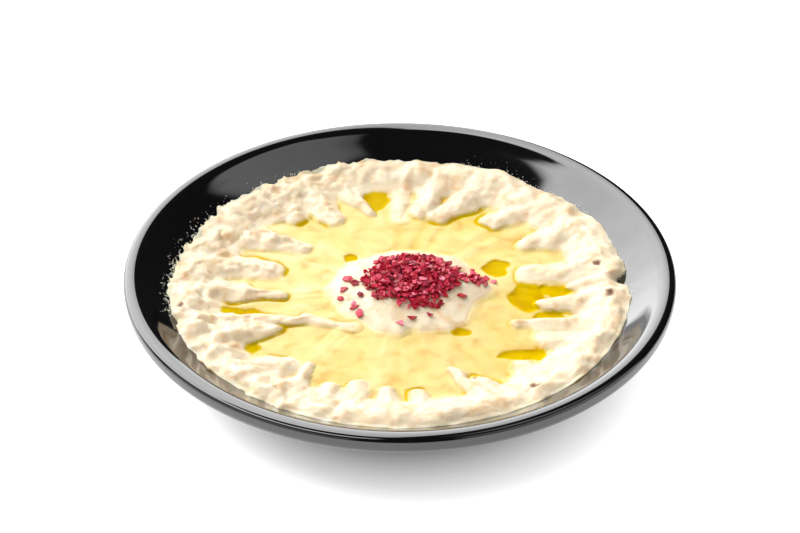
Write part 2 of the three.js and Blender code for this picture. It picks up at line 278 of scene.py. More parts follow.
def ring_z(x, y, r, angle):
    """The outer ring: rounded up from the wall, over its crest, then down to the moat."""
    edge = edge_radius(angle)
    inset = edge - r
    wall = inner_wall_z(edge) - EDGE_SUNK
    crest = MOAT_Z + RING_CREST + lumps(x / 7 + 11, y / 7) + 0.6 * lumps(x / 3.6, y / 3.6 + 23)
    rise = np.clip(inset / RING_CREST_INSET, 0, 1)
    outer = mix(wall, crest, np.sin(rise * np.pi / 2) ** 0.85)
    inner = mix(MOAT_Z - 1, crest, 1 - smooth(inset, RING_CREST_INSET, RING_WIDTH + 3))
    return np.where(inset < RING_CREST_INSET, outer, inner)


def ridge_z(ridge, x, y):
    """One ridge's height, and the depth of the crease round its foot."""
    root_x, root_y = ridge.root
    along_x = ridge.tip[0] - root_x
    along_y = ridge.tip[1] - root_y
    length2 = along_x * along_x + along_y * along_y
    cap_start = 1 - ridge.wide[1] / math.sqrt(length2)
    share = np.clip(((x - root_x) * along_x + (y - root_y) * along_y) / length2, 0, cap_start)
    away = np.hypot(x - root_x - share * along_x, y - root_y - share * along_y)
    uneven = RIDGE_UNEVEN * lumps(x / 5 + 5, y / 5 + 5) * mix(1, 0.5, share)
    half = RIDGE_WIDENED * mix(ridge.wide[0], ridge.wide[1], share) + uneven
    back = 1 - (away / half) ** 2
    high = (ridge.high + FOOT_SUNK) * mix(*RIDGE_FALL, share)
    high = high * (1 + 0.2 * lumps(x / 6.5 + 2, y / 6.5 + 9))
    z = MOAT_Z - FOOT_SUNK + high * np.maximum(back, 0) ** RIDGE_ROUNDING
    # Oil fills only stretches of the crease.
    filled = smooth(lumps(x / 6 + 60, y / 6), -0.45, 0.35)
    crease = ridge.crease * filled * (1 - smooth(np.abs(away - half), 0.1, 1.3))
    return np.where(back > 0, z, -1e3), crease


def mound_z(x, y):
    """The round mound in the middle."""
    dx = (x - MOUND_CENTRE[0]) / MOUND_RADII[0]
    dy = (y - MOUND_CENTRE[1]) / MOUND_RADII[1]
    angle = np.arctan2(dy, dx)
    uneven = 1 + MOUND_UNEVEN * lumps(3 * np.cos(angle) + 7, 3 * np.sin(angle) + 7)
    out = np.hypot(dx, dy) / uneven
    back = np.maximum(1 - out**3, 0) ** 0.7
    top = MOUND_HEIGHT * (1 - MOUND_FALL * out * out) + 0.6 * lumps(x / 6, y / 6)
    return np.where(out < 1, MOAT_Z - FOOT_SUNK + (top + FOOT_SUNK) * back, -1e3)


def hollow_depth(x, y):
    """How deep the hollows in the moat's floor are, before their shores are bent."""
    depth = 0 * x
    for hollow in HOLLOWS:
        out = np.hypot((x - hollow.at[0]) / hollow.size[0], (y - hollow.at[1]) / hollow.size[1])
        depth = np.maximum(depth, POOL_DEEPENED * hollow.deep * (1 - smooth(out, 0.85, 1.15)))
    return depth


def dip_surface(x, y):
    """Height of the dip's upper surface, before its fine crags, and the depth of the pools on it."""
    x = np.asarray(x, float)
    y = np.asarray(y, float)
    r = np.hypot(x, y)
    angle = np.arctan2(y, x)
    # The spoon never ran quite straight.
    long, long_span = LONG_BEND
    short, short_span = SHORT_BEND
    bent_x = x + long * lumps(x / long_span + 31, y / long_span)
    bent_x += short * lumps(x / short_span, y / short_span + 17)
    bent_y = y + long * lumps(x / long_span, y / long_span + 57)
    bent_y += short * lumps(x / short_span + 43, y / short_span)
    # The moat's floor: soft lumps, then broad and narrow strokes that run out from the middle.
    strokes = lumps(x / 9 + 3, y / 9) * 0.2
    strokes += lumps(7 * np.cos(angle) + 20, 7 * np.sin(angle) + r / 30) * 0.3
    strokes += lumps(19 * np.cos(angle), 19 * np.sin(angle) + r / 22) * 0.16
    wave, wave_span = HOLLOW_WAVE
    hollow_x = x + wave * lumps(x / wave_span, y / wave_span)
    hollow_y = y + wave * lumps(x / wave_span + 9, y / wave_span)
    pooled = hollow_depth(hollow_x, hollow_y)
    backs = []
    for ridge in RIDGES:
        back, crease = ridge_z(ridge, bent_x, bent_y)
        backs.append(back)
        pooled = np.maximum(pooled, CREASE_DEEPENED * crease)
    floor = MOAT_Z + 0.25 + strokes - POOL_SUNK * pooled
    z = blend_up(floor, ring_z(x, y, r, angle), 1)
    for back in backs:
        z = blend_up(z, back, RIDGE_BLEND)
    z = blend_up(z, mound_z(bent_x, bent_y), MOUND_BLEND)
    out_x = (x - HEAP_CENTRE[0]) / HEAP_RADII[0]
    out_y = (y - HEAP_CENTRE[1]) / HEAP_RADII[1]
    heap = np.maximum(0, 1 - out_x * out_x - out_y * out_y)
    return z + HEAP_CORE * np.sqrt(heap), pooled


def dip_z(x, y):
    return dip_surface(x, y)[0]


def crag_height(point, strength):
    """Soft lumps with sharp creases between, drawn out towards the centre as the spoon leaves them."""
    r = math.hypot(point.x, point.y)
    around = 70 * math.atan2(point.y, point.x)
    drawn = noise.turbulence(Vector((r / 15, around / 7, 0)), 2, True)
    coarse = noise.turbulence(point / 9, 2, True)
    middle = noise.turbulence(point / 4.2 + Vector((9, 4, 1)), 2, True)
    fine = noise.noise(point / 0.9)
    off_mound = min(max((r - 30) / 15, 0), 1)
    lump = CRAG_DRAWN * (drawn - 0.5) * off_mound + CRAG_COARSE * (coarse - 0.5)
    lump += CRAG_MIDDLE * (middle - 0.5)
    return strength * lump + CRAG_FINE * fine * (0.3 + strength)


# Nodes and materials


def add_node(tree, kind, inputs=None, **settings):
    """Adds one node with its settings, and fills its inputs with values or with links from sockets."""
    node = tree.nodes.new(kind)
    for name, value in settings.items():
        setattr(node, name, value)
    for name, value in (inputs or {}).items():
        if isinstance(value, bpy.types.NodeSocket):
            tree.links.new(value, node.inputs[name])
        else:
            node.inputs[name].default_value = value
    return node


def new_material(name):
    """An empty material with its output node."""
    material = bpy.data.materials.new(name)
    material.use_nodes = True
    material.node_tree.nodes.clear()
    output = add_node(material.node_tree, "ShaderNodeOutputMaterial")
    return material, material.node_tree, output


def set_stops(ramp, *stops):
    """Gives a colour ramp its stops, as pairs of place and colour."""
    elements = ramp.color_ramp.elements
    while len(elements) < len(stops):
        elements.new(0.5)
    for element, (place, colour) in zip(elements, stops):
        element.position = place
        element.color = colour


def black_glaze(settings):
    """Stoneware under a black gloss glaze: a deep mirror that waves a little where the glaze ran."""
    material, tree, output = new_material("black_gloss_glaze_stoneware")
    place = add_node(tree, "ShaderNodeTexCoord").outputs["Object"]
    # The glaze pools in waves about 30 mm long.
    wave = add_node(tree, "ShaderNodeTexNoise", {"Vector": place, "Scale": 33.0, "Detail": 1.0})
    ripple = add_node(
        tree,
        "ShaderNodeBump",
        {"Height": wave.outputs["Fac"], "Strength": 0.03, "Distance": 0.001},
    )
    # Smudges from wiping, about 12 mm across.
    wipe = add_node(tree, "ShaderNodeTexNoise", {"Vector": place, "Scale": 85.0, "Detail": 4.0})
    rough = add_node(
        tree,
        "ShaderNodeMapRange",
        {"Value": wipe.outputs["Fac"], "To Min": 0.03, "To Max": 0.085},
    )
    shader = add_node(
        tree,
        "ShaderNodeBsdfPrincipled",
        {
            "Base Color": (*settings.glaze, 1),
            "Roughness": rough.outputs["Result"],
            "IOR": 1.75,
            "Normal": ripple.outputs["Normal"],
        },
    )
    tree.links.new(shader.outputs["BSDF"], output.inputs["Surface"])
    return material


def aubergine_cream():
    """Roasted aubergine beaten with tahini: moist, slightly see-through, with paler and tanner curds."""
    material, tree, output = new_material("beaten_aubergine_and_tahini")
    place = add_node(tree, "ShaderNodeTexCoord").outputs["Object"]
    # Tan and pale curds, 6 mm and 2 mm across.
    curds = add_node(
        tree,
        "ShaderNodeTexNoise",
        {"Vector": place, "Scale": 160.0, "Detail": 3.0, "Distortion": 0.6},
    )
    cream = add_node(tree, "ShaderNodeValToRGB", {"Fac": curds.outputs["Fac"]})
    set_stops(
        cream,
        (0.3, linear("#E2D5BB")),
        (0.56, linear("#DAC7A8")),
        (0.72, linear("#D3B38A")),
    )
    # Fibres and seeds, under 1 mm.
    fleck = add_node(tree, "ShaderNodeTexNoise", {"Vector": place, "Scale": 620.0, "Detail": 2.0})
    seeds = add_node(
        tree,
        "ShaderNodeMapRange",
        {"Value": fleck.outputs["Fac"], "From Min": 0.69, "From Max": 0.76, "To Max": 0.5},
    )
    flecked = add_node(
        tree,
        "ShaderNodeMix",
        {"Factor": seeds.outputs["Result"], "A": cream.outputs["Color"], "B": linear("#C9A97C")},
        data_type="RGBA",
    )
    # Where oil stands on the dip it has soaked in, more so where it is deep.
    soak = add_node(tree, "ShaderNodeAttribute", attribute_name="soak")
    golden = add_node(tree, "ShaderNodeValToRGB", {"Fac": soak.outputs["Fac"]})
    set_stops(
        golden,
        (0.0, (1, 1, 1, 1)),
        (0.06, (0.92, 0.91, 0.82, 1)),
        (0.2, (0.75, 0.725, 0.55, 1)),
        (0.42, (0.66, 0.645, 0.43, 1)),
        (0.66, (0.59, 0.51, 0.09, 1)),
        (0.9, (0.54, 0.46, 0.001, 1)),
    )
    soaked = add_node(
        tree,
        "ShaderNodeMix",
        {"Factor": 1.0, "A": flecked.outputs["Result"], "B": golden.outputs["Color"]},
        data_type="RGBA",
        blend_type="MULTIPLY",
    )
    char = add_node(tree, "ShaderNodeAttribute", attribute_name="char")
    charred = add_node(
        tree,
        "ShaderNodeMix",
        {"Factor": char.outputs["Fac"], "A": soaked.outputs["Result"], "B": linear("#6E4020")},
        data_type="RGBA",
    )
    stain = add_node(tree, "ShaderNodeAttribute", attribute_name="stain")
    stained = add_node(
        tree,
        "ShaderNodeMix",
        {"Factor": stain.outputs["Fac"], "A": charred.outputs["Result"], "B": linear("#6E0F20")},
        data_type="RGBA",
    )
    # Grain of the paste, about 0.7 mm.
    grain = add_node(tree, "ShaderNodeTexNoise", {"Vector": place, "Scale": 1400.0, "Detail": 3.0})
    bump = add_node(
        tree,
        "ShaderNodeBump",
        {"Height": grain.outputs["Fac"], "Strength": 0.35, "Distance": 0.0004},
    )
    wet = add_node(
        tree,
        "ShaderNodeMapRange",
        {"Value": curds.outputs["Fac"], "To Min": 0.55, "To Max": 0.34},
    )
    # Under oil the cream has no shine of its own.
    shine = add_node(
        tree,
        "ShaderNodeMapRange",
        {"Value": soak.outputs["Fac"], "From Max": 0.2, "To Min": 0.5, "To Max": 0.0},
    )
    shader = add_node(
        tree,
        "ShaderNodeBsdfPrincipled",
        {
            "Base Color": stained.outputs["Result"],
            "Roughness": wet.outputs["Result"],
            "IOR": 1.35,
            "Specular IOR Level": shine.outputs["Result"],
            "Subsurface Weight": 0.7,
            "Subsurface Radius": (1.0, 0.66, 0.38),
            "Subsurface Scale": 0.0021,
            "Normal": bump.outputs["Normal"],
        },
    )
    tree.links.new(shader.outputs["BSDF"], output.inputs["Surface"])
    return material


def olive_oil(settings):
    """Olive oil: clear and yellow, and with no glare on it, as seen through a polarising filter."""
    material, tree, output = new_material("virgin_olive_oil")
    oil = add_node(
        tree,
        "ShaderNodeBsdfPrincipled",
        {
            "Base Color": (1, 1, 1, 1),
            "Roughness": 0.02,
            "IOR": 1.05,
            "Transmission Weight": 1.0,
        },
    )
    lit = add_node(tree, "ShaderNodeBsdfTransparent", {"Color": (1, 1, 1, 1)})
    path = add_node(tree, "ShaderNodeLightPath")
    surface = add_node(tree, "ShaderNodeMixShader", {"Fac": path.outputs["Is Shadow Ray"]})
    tree.links.new(oil.outputs["BSDF"], surface.inputs[1])
    tree.links.new(lit.outputs["BSDF"], surface.inputs[2])
    tint = add_node(
        tree,
        "ShaderNodeVolumeAbsorption",
        {"Color": (*settings.tint, 1), "Density": settings.density},
    )
    tree.links.new(surface.outputs["Shader"], output.inputs["Surface"])
    tree.links.new(tint.outputs["Volume"], output.inputs["Volume"])
    return material


def sumac_skin():
    """Dried sumac skin: crimson chips that differ in tone, with a dull shine on their flat sides."""
    material, tree, output = new_material("dried_sumac_skin")
    place = add_node(tree, "ShaderNodeTexCoord").outputs["Object"]
    tone = add_node(tree, "ShaderNodeAttribute", attribute_name="tone")
    red = add_node(tree, "ShaderNodeValToRGB", {"Fac": tone.outputs["Fac"]})
    set_stops(
        red,
        (0.0, linear("#66041A")),
        (0.4, linear("#B40C2C")),
        (0.75, linear("#CE2E50")),
        (1.0, linear("#EE94A8")),
    )
    # Wrinkles of the dried skin, 0.5 mm.
    wrinkle = add_node(tree, "ShaderNodeTexNoise", {"Vector": place, "Scale": 2000.0, "Detail": 2.0})
    bump = add_node(
        tree,
        "ShaderNodeBump",
        {"Height": wrinkle.outputs["Fac"], "Strength": 0.5, "Distance": 0.0002},
    )
    shader = add_node(
        tree,
        "ShaderNodeBsdfPrincipled",
        {
            "Base Color": red.outputs["Color"],
            "Roughness": 0.4,
            "IOR": 1.4,
            "Subsurface Weight": 0.15,
            "Subsurface Radius": (1.0, 0.2, 0.2),
            "Subsurface Scale": 0.0008,
            "Normal": bump.outputs["Normal"],
        },
    )
    tree.links.new(shader.outputs["BSDF"], output.inputs["Surface"])
    return material


def backlit_acrylic(settings):
    """White acrylic lit from below, matt, with a grain too fine to see, and a painted shadow under the bowl
    where its glow fades out.
    """
    material, tree, output = new_material("white_backlit_acrylic")
    place = add_node(tree, "ShaderNodeTexCoord").outputs["Object"]
    grain = add_node(tree, "ShaderNodeTexNoise", {"Vector": place, "Scale": 900.0})
    bump = add_node(
        tree,
        "ShaderNodeBump",
        {"Height": grain.outputs["Fac"], "Strength": 0.02, "Distance": 0.0002},
    )
    # Painted contact shadow: the glow fades out towards the middle, which the bowl covers, so that the base
    # looks shaded under it.
    radius = add_node(tree, "ShaderNodeVectorMath", {"Vector": place}, operation="LENGTH")
    glow_with_painted_shadow = add_node(
        tree,
        "ShaderNodeMapRange",
        {
            "Value": radius.outputs["Value"],
            "From Min": 0.058,
            "From Max": 0.094,
            "To Max": settings.backlight,
        },
    )
    shader = add_node(
        tree,
        "ShaderNodeBsdfPrincipled",
        {
            "Base Color": (*settings.base, 1),
            "Roughness": 0.9,
            "Emission Color": (1, 1, 1, 1),
            "Emission Strength": glow_with_painted_shadow.outputs["Result"],
            "Normal": bump.outputs["Normal"],
        },
    )
    tree.links.new(shader.outputs["BSDF"], output.inputs["Surface"])
    return material


def softbox_cloth():
    """White diffusing cloth of a softbox, bright in the middle and darker towards its edges."""
    material, tree, output = new_material("softbox_cloth")
    glow = add_node(tree, "ShaderNodeAttribute", attribute_name="glow")
    # Folds of the cloth, about 200 mm apart, dim the light by a few hundredths.
    place = add_node(tree, "ShaderNodeTexCoord").outputs["Object"]
    folds = add_node(tree, "ShaderNodeTexNoise", {"Vector": place, "Scale": 5.0})
    even = add_node(
        tree,
        "ShaderNodeMapRange",
        {"Value": folds.outputs["Fac"], "To Min": 0.9, "To Max": 1.1},
    )
    strength = add_node(tree, "ShaderNodeMath", operation="MULTIPLY")
    tree.links.new(glow.outputs["Fac"], strength.inputs[0])
    tree.links.new(even.outputs["Result"], strength.inputs[1])
    light = add_node(tree, "ShaderNodeEmission", {"Strength": strength.outputs["Value"]})
    tree.links.new(light.outputs["Emission"], output.inputs["Surface"])
    return material


# Mesh helpers


def finish_piece(name, shape, material, slot, *nodes):
    """Turns a bmesh in metres into a smooth object that rides on the part's only body."""
    mesh = bpy.data.meshes.new(name)
    shape.to_mesh(mesh)
    shape.free()
    mesh.materials.append(material)
    mesh.polygons.foreach_set("use_smooth", [True] * len(mesh.polygons))
    piece = bpy.data.objects.new(name, mesh)
    bpy.context.scene.collection.objects.link(piece)
    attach(piece, "root")
    if nodes:
        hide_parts(*nodes)
    return piece


def spun(profile, sides):
    """Wraps a grid round the upright axis: [radius, height] pairs in millimetres give its closed shell."""
    shape = bmesh.new()
    steps = len(profile) - 1
    bmesh.ops.create_grid(shape, x_segments=sides, y_segments=steps, size=1)
    for vert in shape.verts:
        turn = math.pi * vert.co.x
        r, z = profile[round(steps * (vert.co.y + 1) / 2)]
        vert.co = (r * math.cos(turn), r * math.sin(turn), z)
    bmesh.ops.remove_doubles(shape, verts=shape.verts, dist=1e-5)
    bmesh.ops.recalc_face_normals(shape, faces=shape.faces)
    return shape


def slope_arc(centre_r, centre_z, radius, start, end, steps):
    """Points of an arc whose slope runs from one angle to another."""
    points = []
    for i in range(steps + 1):
        slope = mix(start, end, i / steps)
        points.append((centre_r + radius * math.sin(slope), centre_z - radius * math.cos(slope)))
    return points


def bowl_profile():
    """Half section of the bowl, from under the floor out round the foot and rim, and back to the centre."""
    widest_z = BOWL_HEIGHT - RIM_SIDE_DROP
    bead = slope_arc(BOWL_RADIUS - BEAD_RADIUS, widest_z, BEAD_RADIUS, WALL_SLOPE, math.pi / 2, 10)
    wall_top_r, wall_top_z = bead[0]
    foot_top_r = FOOT_RADIUS + 1
    chord = math.atan2(wall_top_z - FOOT_HEIGHT, wall_top_r - foot_top_r)
    foot_slope = 2 * chord - WALL_SLOPE
    wall_arc = (wall_top_r - foot_top_r) / (math.sin(WALL_SLOPE) - math.sin(foot_slope))
    wall = slope_arc(
        wall_top_r - wall_arc * math.sin(WALL_SLOPE),
        wall_top_z + wall_arc * math.cos(WALL_SLOPE),
        wall_arc,
        foot_slope,
        WALL_SLOPE,
        20,
    )
    # The rim's top: an outer edge, a slight crown, and an inner edge that rolls over into the wall.
    rim_slope = math.asin(WALL_RUN / WALL_ARC)
    crest_r = RIM_INNER_RADIUS + RIM_ROLL * math.tan(rim_slope / 2)
    crown_r = BOWL_RADIUS - RIM_EDGE * (1 - math.sin(RIM_CROWN_TILT))
    crown = (crown_r - crest_r) / math.sin(RIM_CROWN_TILT)
    edge_z = BOWL_HEIGHT - crown * (1 - math.cos(RIM_CROWN_TILT)) - RIM_EDGE * math.cos(RIM_CROWN_TILT)
    corner_steps = 12
    shoulder = []
    for i in range(corner_steps + 1):
        tilt = mix(math.pi / 2, RIM_CROWN_TILT, i / corner_steps)
        shoulder.append(
            (BOWL_RADIUS - RIM_EDGE * (1 - math.sin(tilt)), edge_z + RIM_EDGE * math.cos(tilt))
        )
    for i in range(1, corner_steps + 1):
        tilt = RIM_CROWN_TILT * (1 - i / corner_steps)
        shoulder.append((crest_r + crown * math.sin(tilt), BOWL_HEIGHT - crown * (1 - math.cos(tilt))))
    roll_steps = 15
    edge = []
    for i in range(1, roll_steps + 1):
        slope = rim_slope * i / roll_steps
        edge.append((crest_r - RIM_ROLL * math.sin(slope), BOWL_HEIGHT - RIM_ROLL * (1 - math.cos(slope))))
    wall_start = edge.pop()[0] - 0.1
    inner_steps = 36
    inner = []
    for i in range(inner_steps, -1, -1):
        r = mix(FLOOR_FLAT_RADIUS, wall_start, i / inner_steps)
        inner.append((r, float(inner_wall_z(r))))
    ring = FOOT_RADIUS - FOOT_WIDTH
    foot = [
        (ring - 1, RECESS_Z),
        (ring - 0.4, 0.6),
        (ring + 0.4, 0),
        (FOOT_RADIUS - 0.6, 0),
        (FOOT_RADIUS, 0.6),
    ]
    outside = [(0, RECESS_Z), (ring - 2, RECESS_Z), *foot, *wall, *bead[1:]]
    return [*outside, *shoulder, *edge, *inner, (0, FLOOR_Z)]


def mound_place(degrees, distance):
    """A point given by its angle and distance from the mound's centre."""
    turn = math.radians(degrees)
    return MOUND_CENTRE[0] + distance * math.cos(turn), MOUND_CENTRE[1] + distance * math.sin(turn)


# Settings, shown in the sidebar


class BowlSettings(bpy.types.PropertyGroup):
    glaze: FloatVectorProperty(
        name="Glaze",
        description="Colour of the glaze",
        subtype="COLOR",
        default=linear("#0A0A0C")[:3],
        min=0,
        max=1,
    )
    sides: IntProperty(
        name="Sides",
        description="Steps round the bowl",
        default=BOWL_SIDES,
        min=32,
        max=512,
    )


class DipSettings(bpy.types.PropertyGroup):
    crags: FloatProperty(
        name="Crags",
        description="How rough the ring and ridges are",
        default=1.0,
        min=0,
        max=2,
        subtype="FACTOR",
    )
    steps: IntProperty(
        name="Steps",
        description="Rings of faces on the upper surface",
        default=DIP_STEPS,
        min=20,
        max=190,
    )


class OilSettings(bpy.types.PropertyGroup):
    tint: FloatVectorProperty(
        name="Tint",
        description="Colour that the oil lets through",
        subtype="COLOR",
        default=linear("#FCE900")[:3],
        min=0,
        max=1,
    )
    density: FloatProperty(
        name="Density",
        description="How fast the tint deepens, per metre of oil",
        default=110,
        min=0,
        max=2000,
    )


class SumacSettings(bpy.types.PropertyGroup):
    flakes: IntProperty(name="Flakes", description="Flakes in the heap", default=980, min=1, max=2000)
    shortest: FloatProperty(
        name="Shortest flake",
        description="End to end",
        default=1.7 * MM,
        min=0.5 * MM,
        max=5 * MM,
        unit="LENGTH",
    )
    longest: FloatProperty(
        name="Longest flake",
        description="End to end",
        default=4.5 * MM,
        min=0.5 * MM,
        max=6 * MM,
        unit="LENGTH",
    )


class SpatterSettings(bpy.types.PropertyGroup):
    amount: FloatProperty(
        name="Amount",
        description="How many drops, against the number in the picture",
        default=1.0,
        min=0,
        max=3,
        subtype="FACTOR",
    )


class StudioSettings(bpy.types.PropertyGroup):
    base: FloatVectorProperty(
        name="Base",
        description="Colour of the acrylic base",
        subtype="COLOR",
        default=linear("#DADADA")[:3],
        min=0,
        max=1,
    )
    backlight: FloatProperty(
        name="Backlight",
        description="Light that comes up through the acrylic base",
        default=0.85,
        min=0,
        max=5,
    )
    cards: FloatProperty(
        name="Softboxes",
        description="Brightness of all the softboxes together",
        default=0.56,
        min=0,
        max=5,
    )
    fill: FloatProperty(
        name="Fill",
        description="Even light from all round",
        default=0.46,
        min=0,
        max=3,
    )


class TableSettings(bpy.types.PropertyGroup):
    bowl: PointerProperty(type=BowlSettings, name="Bowl", description="The bowl's settings")
    dip: PointerProperty(type=DipSettings, name="Dip", description="The dip's settings")
    oil: PointerProperty(type=OilSettings, name="Oil", description="The oil's settings")
    sumac: PointerProperty(type=SumacSettings, name="Sumac", description="The sumac's settings")
    spatter: PointerProperty(type=SpatterSettings, name="Spatter", description="The spatter's settings")
    studio: PointerProperty(type=StudioSettings, name="Studio", description="The studio's settings")


# Operators, one for each piece


class MEZZE_OT_bowl(bpy.types.Operator):
    """Throw the black bowl"""

    bl_idname = "mezze.bowl"
    bl_label = "Bowl"

    def execute(self, context):
        settings = context.scene.mezze.bowl
        shape = spun(bowl_profile(), settings.sides)
        bmesh.ops.scale(shape, vec=(MM, MM, MM), verts=shape.verts)
        finish_piece("black_bowl", shape, black_glaze(settings), "black_glaze", "bowl")
        return {"FINISHED"}


class MEZZE_OT_dip(bpy.types.Operator):
    """Spread the dip with its ring, ridges and mound"""

    bl_idname = "mezze.dip"
    bl_label = "Dip"

    def execute(self, context):
        settings = context.scene.mezze.dip
        steps = settings.steps
        # A flat lens: the underside at -1, the upper surface at +1, both from 0 to 1 outwards.
        profile = [(i / UNDER_STEPS, -1) for i in range(UNDER_STEPS)] + [(1, 0)]
        profile += [(1 - (i / steps) ** STEP_SPREAD, 1) for i in range(1, steps + 1)]
        shape = spun(profile, DIP_SIDES)
        flat = np.array([v.co for v in shape.verts])
        outward = np.hypot(flat[:, 0], flat[:, 1])
        angle = np.arctan2(flat[:, 1], flat[:, 0])
        r = outward * edge_radius(angle)
        x = r * np.cos(angle)
        y = r * np.sin(angle)
        upper = flat[:, 2] > 0.5
        rim = np.abs(flat[:, 2]) < 0.5
        under = inner_wall_z(r) + np.where(rim, -EDGE_SUNK, WALL_CLEARANCE)
        top, pooled = dip_surface(x, y)
        z = np.where(upper, top, under)
        for vert, place in zip(shape.verts, np.stack([x, y, z], 1)):
            vert.co = place
        shape.normal_update()
        inset = edge_radius(angle) - r
        above = z - OIL_Z
        from_mound = np.hypot(x - MOUND_CENTRE[0], y - MOUND_CENTRE[1])
        strength = settings.crags * mix(0.1, 1, smooth(above, -0.3, 2.2)) * smooth(inset, 0, 1.5)
        # The left side is torn, the right side and the front were smoothed.
        strength *= mix(0.65, 1.35, smooth(-x, -20, 50) * mix(0.5, 1, smooth(y, -60, 0)))
        strength *= mix(0.45, 1, smooth(from_mound, 28, 40))
        char = np.zeros(len(x))
        for (char_x, char_y), radius in CHARRED:
            away = np.hypot(x - char_x, y - char_y) + 0.6 * lumps(x * 1.1, y * 1.1)
            char = np.maximum(char, 1 - smooth(away, 0.4 * radius, radius))
        for vert, power, is_upper, burnt, gap in zip(shape.verts, strength, upper, char, inset):
            if is_upper:
                vert.co += vert.normal * (crag_height(vert.co, power) - CHAR_SUNK * burnt)
                if 0.4 < gap < RING_CREST_INSET:
                    wall = float(inner_wall_z(math.hypot(vert.co.x, vert.co.y)))
                    vert.co.z = max(vert.co.z, wall + 2 * WALL_CLEARANCE)
        # The film is thinner on the left.
        film = mix(*FILM_RANGE, smooth(x + 9 * lumps(x / 12 + 70, y / 12), -36, 14))
        steeped = film * (OIL_Z + SOAK_RISE - z) + POOL_TINT * pooled * smooth(OIL_Z - z, 0, 0.5)
        soak = np.where(upper, np.clip(steeped / SOAK_DEPTH, 0, 1), 0)
        heap_out = np.hypot((x - HEAP_CENTRE[0]) / HEAP_RADII[0], (y - HEAP_CENTRE[1]) / HEAP_RADII[1])
        stain = 1 - smooth(heap_out + 0.15 * lumps(x / 2, y / 2), 0.6, 0.85)
        bmesh.ops.scale(shape, vec=(MM, MM, MM), verts=shape.verts)
        cream = aubergine_cream()
        piece = finish_piece("aubergine_dip", shape, cream, "aubergine_cream", "baba_ganoush")
        for name, values in (("char", char), ("stain", stain), ("soak", soak)):
            attribute = piece.data.attributes.new(name, "FLOAT", "POINT")
            attribute.data.foreach_set("value", values)
        return {"FINISHED"}


class MEZZE_OT_oil(bpy.types.Operator):
    """Pour the olive oil into the moat"""

    bl_idname = "mezze.oil"
    bl_label = "Oil"

    def execute(self, context):
        settings = context.scene.mezze.oil
        shape = spun([(OIL_STEP * i, 0) for i in range(1, OIL_STEPS + 1)], OIL_SIDES)
        flat = np.array([v.co for v in shape.verts])
        x, y = flat[:, 0], flat[:, 1]
        bed = dip_z(x, y)
        wet = bed < OIL_Z + OIL_OVERLAP
        dry = [v for v, is_wet in zip(shape.verts, wet) if not is_wet]
        for vert, height in zip(shape.verts, np.minimum(bed, OIL_Z) - OIL_OVERLAP):
            vert.co.z = height
        bmesh.ops.delete(shape, geom=dry, context="VERTS")
        lifted = bmesh.ops.extrude_face_region(shape, geom=shape.faces)
        swell, span = OIL_SWELL
        for vert in lifted["geom"]:
            if isinstance(vert, bmesh.types.BMVert):
                vert.co.z = OIL_Z + swell * noise.noise(vert.co / span)
        bmesh.ops.recalc_face_normals(shape, faces=shape.faces)
        bmesh.ops.scale(shape, vec=(MM, MM, MM), verts=shape.verts)
        finish_piece("olive_oil_film", shape, olive_oil(settings), "olive_oil", "olive_oil")
        return {"FINISHED"}


